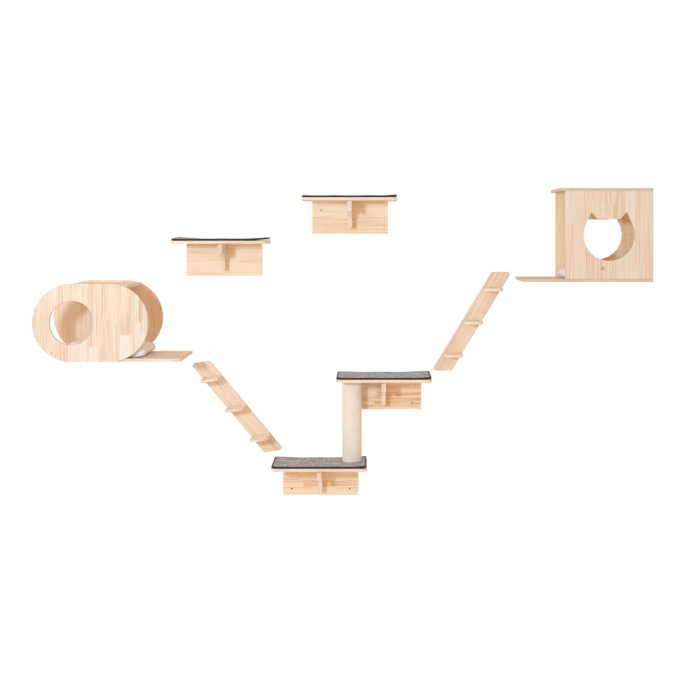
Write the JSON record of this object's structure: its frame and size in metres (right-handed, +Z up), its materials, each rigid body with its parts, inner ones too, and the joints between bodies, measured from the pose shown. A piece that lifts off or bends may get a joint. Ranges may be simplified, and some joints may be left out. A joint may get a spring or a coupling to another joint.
{
  "type": "wall mounted cat tree",
  "caption": "Wall mounted climbing set in pale pine: a round-ended house, a square house with a cat-face door, carpeted shelves, a sisal post and leaning stepped planks.",
  "frame": {"origin": "centre of the lower shelf's four wall holes, on the wall plane", "axes": "+X to the right along the wall, +Y into the wall, +Z up; the set stands out of the wall towards -Y"},
  "size_m": [2.5294, 0.32, 1.317],
  "materials": {
    "pine": "edge-glued pine, sanded and clear lacquered, satin",
    "carpet": "short mottled grey carpet pile",
    "binding": "dark brown woven edge tape",
    "sisal": "fine cream sisal rope, close wound",
    "plush": "white short plush",
    "cardboard": "spiral-wound cardboard, matt",
    "screw_steel": "bright zinc plated steel"
  },
  "bodies": {
    "root": {"lower_shelf_board": "pine", "lower_shelf_backplate": "pine", "lower_shelf_bracket": "pine", "lower_shelf_mat": "carpet", "lower_shelf_mat_binding": "binding", "lower_shelf_screws": "screw_steel", "middle_shelf_board": "pine", "middle_shelf_backplate": "pine", "middle_shelf_bracket": "pine", "middle_shelf_mat": "carpet", "middle_shelf_mat_binding": "binding", "middle_shelf_screws": "screw_steel", "left_shelf_board": "pine", "left_shelf_backplate": "pine", "left_shelf_bracket": "pine", "left_shelf_mat": "carpet", "left_shelf_mat_binding": "binding", "left_shelf_screws": "screw_steel", "top_shelf_board": "pine", "top_shelf_backplate": "pine", "top_shelf_bracket": "pine", "top_shelf_mat": "carpet", "top_shelf_mat_binding": "binding", "top_shelf_screws": "screw_steel", "post_core_tube": "cardboard", "post_sisal_rope": "sisal", "post_top_plug": "pine", "post_bottom_plug": "pine", "post_bolts": "screw_steel", "capsule_front_panel": "pine", "capsule_back_panel": "pine", "capsule_top_board": "pine", "capsule_floor_board": "pine", "capsule_cushion": "plush", "capsule_screws": "screw_steel", "cube_front_panel": "pine", "cube_back_panel": "pine", "cube_side_panel": "pine", "cube_roof_board": "pine", "cube_floor_board": "pine", "cube_cushion": "plush", "cube_screws": "screw_steel", "left_ladder_plank": "pine", "left_ladder_step_1": "pine", "left_ladder_step_2": "pine", "left_ladder_step_3": "pine", "left_ladder_screws": "screw_steel", "right_ladder_plank": "pine", "right_ladder_step_1": "pine", "right_ladder_step_2": "pine", "right_ladder_step_3": "pine", "right_ladder_screws": "screw_steel"}
  },
  "joints": []
}
